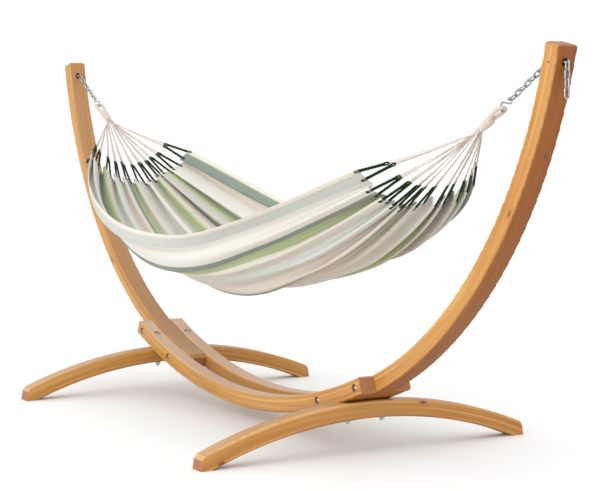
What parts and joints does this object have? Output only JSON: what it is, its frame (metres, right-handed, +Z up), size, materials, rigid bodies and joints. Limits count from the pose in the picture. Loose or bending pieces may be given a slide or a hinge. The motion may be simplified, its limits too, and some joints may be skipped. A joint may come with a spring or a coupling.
{
  "type": "hammock on stand",
  "caption": "Gathered-end striped cloth hammock hung by chains and hooks from the curved arms of a free-standing bent laminated wood stand with two arched feet.",
  "frame": {"origin": "on the floor under the middle of the stand", "axes": "+X along the stand towards the right arm, +Y across it towards the back rail, +Z up"},
  "size_m": [3.2946, 1.2, 1.2554],
  "materials": {
    "timber": "honey-coloured oiled laminated larch, satin",
    "bolts": "zinc plated",
    "galvanised": "galvanised, slightly dull",
    "striped_cloth": "woven lengthwise stripes in ivory, pale mint, grey-green and light olive",
    "hem": "ivory twill, stitched",
    "loop_cord": "dark green twisted cord",
    "rope": "off-white twisted cotton cord",
    "tag": "plain woven tag"
  },
  "bodies": {
    "stand": {"left_arm": "timber", "right_arm": "timber", "front_rail": "timber", "back_rail": "timber", "left_foot": "timber", "right_foot": "timber", "cross_bolts": "bolts", "cross_bolt_washers": "bolts", "cross_bolt_cap_nuts": "bolts", "foot_bolts": "bolts", "foot_bolt_washers": "bolts", "foot_bolt_nuts": "bolts", "left_anchor_pin": "bolts", "right_anchor_pin": "bolts", "left_anchor_links": "galvanised", "right_anchor_links": "galvanised"},
    "hammock": {"left_chain": "galvanised", "right_chain": "galvanised", "left_hook": "galvanised", "right_hook": "galvanised", "hammock_cloth": "striped_cloth", "front_hem": "hem", "back_hem": "hem", "left_end_hem": "striped_cloth", "right_end_hem": "striped_cloth", "left_loops": "loop_cord", "right_loops": "loop_cord", "left_cords": "rope", "right_cords": "rope", "left_eye": "rope", "right_eye": "rope", "edge_tag": "tag"},
    "left_tail": {"left_tail": "galvanised"},
    "right_tail": {"right_tail": "galvanised"}
  },
  "joints": [
    {"name": "hammock_swing", "type": "hinge", "parent": "stand", "child": "hammock", "pos_m": [0, 0, 1.2], "axis": [1, 0, 0], "range_deg": [-30, 30]},
    {"name": "left_tail_swing", "type": "hinge", "parent": "stand", "child": "left_tail", "pos_m": [-1.63783, 0, 1.2], "axis": [0, 1, 0], "range_deg": [0, 60]},
    {"name": "right_tail_swing", "type": "hinge", "parent": "stand", "child": "right_tail", "pos_m": [1.63783, 0, 1.2], "axis": [0, -1, 0], "range_deg": [0, 60]}
  ]
}
